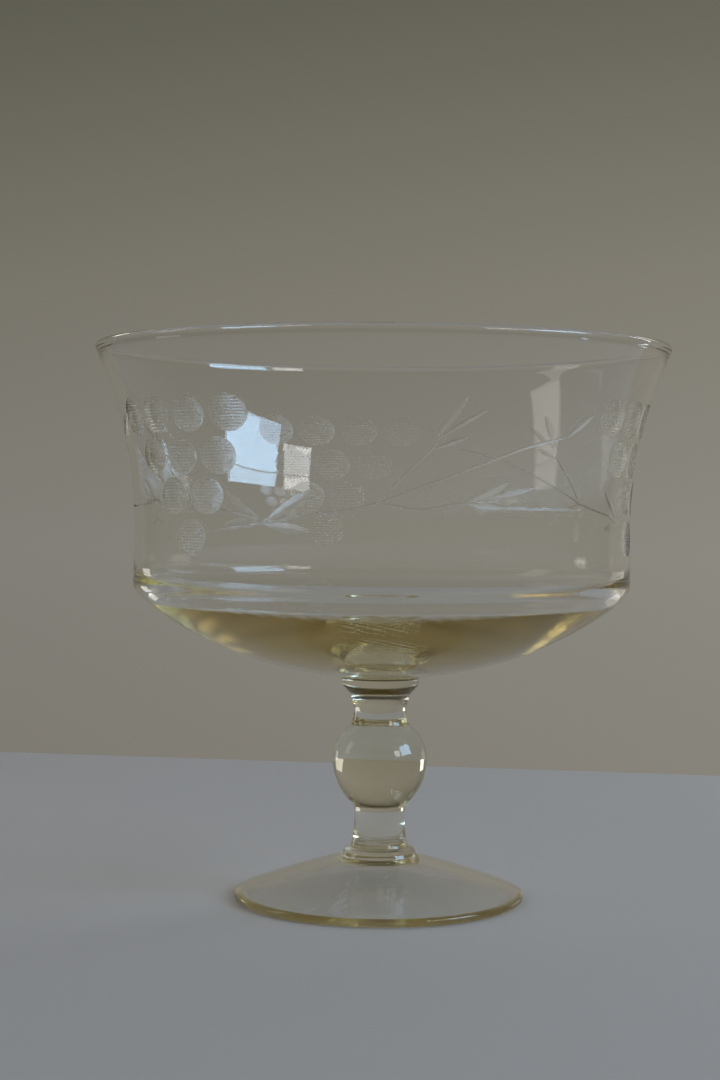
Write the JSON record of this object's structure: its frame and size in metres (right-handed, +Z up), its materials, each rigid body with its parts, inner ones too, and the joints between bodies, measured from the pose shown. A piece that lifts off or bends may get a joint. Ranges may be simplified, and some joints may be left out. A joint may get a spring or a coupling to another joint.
{
  "type": "stemmed bowl",
  "caption": "Clear glass footed serving bowl: flared cylindrical bowl with a domed bottom on a solid stem with a ball knop and a conical foot.",
  "frame": {"origin": "centre of the foot on the plane that the bowl stands on", "axes": "+Z up along the axis of the stem, -Y towards the side that the picture shows"},
  "size_m": [0.2106, 0.2106, 0.2036],
  "materials": {
    "bowl_glass": "fire-polished clear glass, ground cuts in the outer wall",
    "stem_glass": "polished solid clear glass",
    "foot_glass": "polished clear glass with an amber tint at the edge"
  },
  "bodies": {
    "root": {"bowl": "bowl_glass", "bowl_collar": "stem_glass", "upper_neck": "stem_glass", "ball_knop": "stem_glass", "lower_neck": "stem_glass", "foot_collar": "stem_glass", "foot": "foot_glass"}
  },
  "joints": []
}
